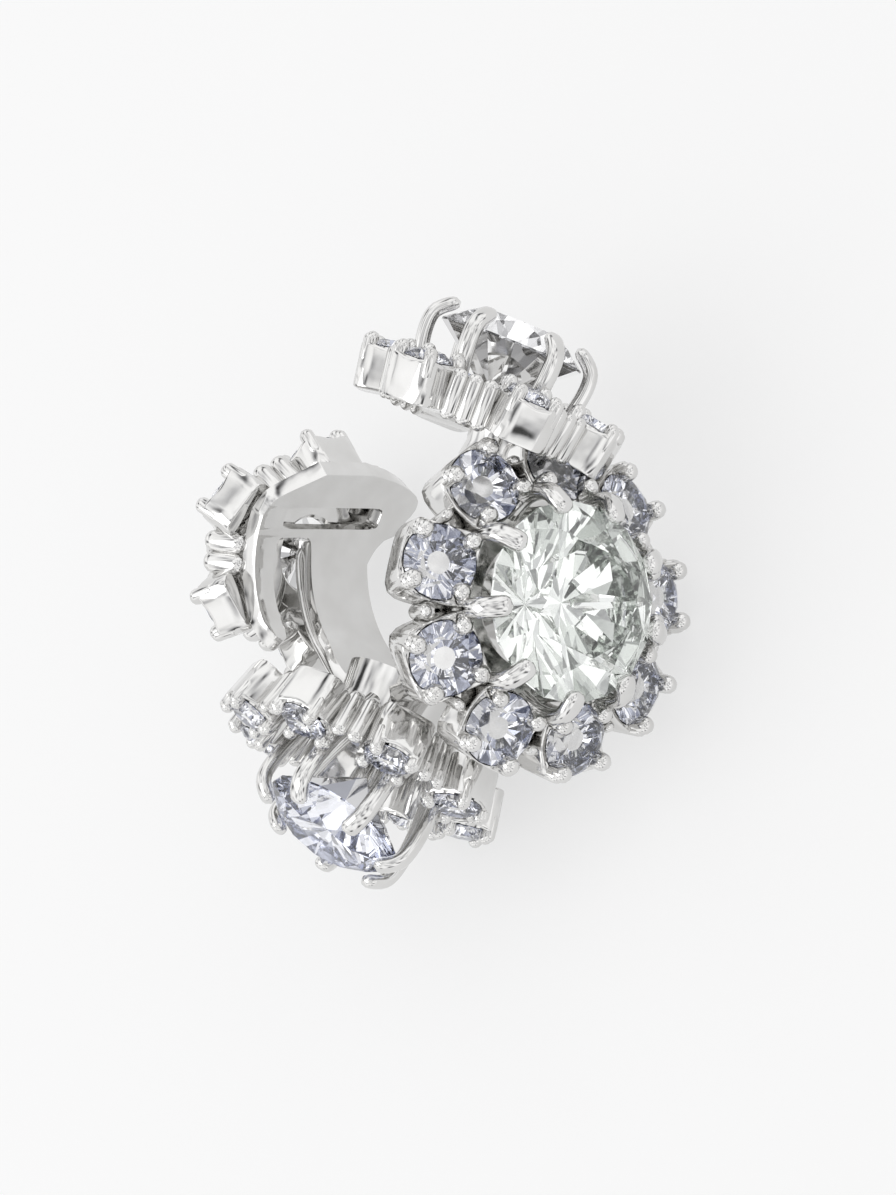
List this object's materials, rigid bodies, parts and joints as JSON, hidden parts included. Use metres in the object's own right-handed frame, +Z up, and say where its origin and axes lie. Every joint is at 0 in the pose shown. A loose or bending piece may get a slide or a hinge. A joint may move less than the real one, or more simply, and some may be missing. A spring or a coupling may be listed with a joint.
{
  "type": "ear cuff",
  "caption": "Open cuff ring for the ear with gem clusters soldered round it, each a large round stone in claws with a halo of small stones in square collets.",
  "frame": {"origin": "middle of the underside of the box round the cuff as it lies at rest", "axes": "+Z up; the ring's axis leans about 16 degrees from +Z; the main cluster is on the -Y side and the end plate with its cluster on the +Y side"},
  "size_m": [0.0234, 0.0214, 0.0138],
  "materials": {
    "rhodium_metal": "polished bright white plate, smooth, with mirror-like reflections",
    "main_gem": "faceted, very faint green-white, clear",
    "upper_gem": "faceted, neutral white, clear",
    "lower_gem": "faceted, faint lavender blue, clear",
    "rear_gem": "faceted, neutral white, clear",
    "halo_gem": "faceted, faint blue-white, clear"
  },
  "bodies": {
    "root": {"cuff_frame": "rhodium_metal", "main_stone": "main_gem", "main_halo_stone_1": "halo_gem", "main_halo_stone_2": "halo_gem", "main_halo_stone_3": "halo_gem", "main_halo_stone_4": "halo_gem", "main_halo_stone_5": "halo_gem", "main_halo_stone_6": "halo_gem", "main_halo_stone_7": "halo_gem", "main_halo_stone_8": "halo_gem", "main_halo_stone_9": "halo_gem", "upper_stone": "upper_gem", "upper_halo_stone_1": "halo_gem", "upper_halo_stone_2": "halo_gem", "upper_halo_stone_3": "halo_gem", "upper_halo_stone_4": "halo_gem", "upper_halo_stone_5": "halo_gem", "upper_halo_stone_6": "halo_gem", "lower_stone": "lower_gem", "lower_halo_stone_1": "halo_gem", "lower_halo_stone_2": "halo_gem", "lower_halo_stone_3": "halo_gem", "lower_halo_stone_4": "halo_gem", "lower_halo_stone_5": "halo_gem", "lower_halo_stone_6": "halo_gem", "lower_halo_stone_7": "halo_gem", "lower_halo_stone_8": "halo_gem", "rear_stone": "rear_gem", "rear_halo_stone_1": "halo_gem", "rear_halo_stone_2": "halo_gem", "rear_halo_stone_3": "halo_gem", "rear_halo_stone_4": "halo_gem", "rear_halo_stone_6": "halo_gem"}
  },
  "joints": []
}
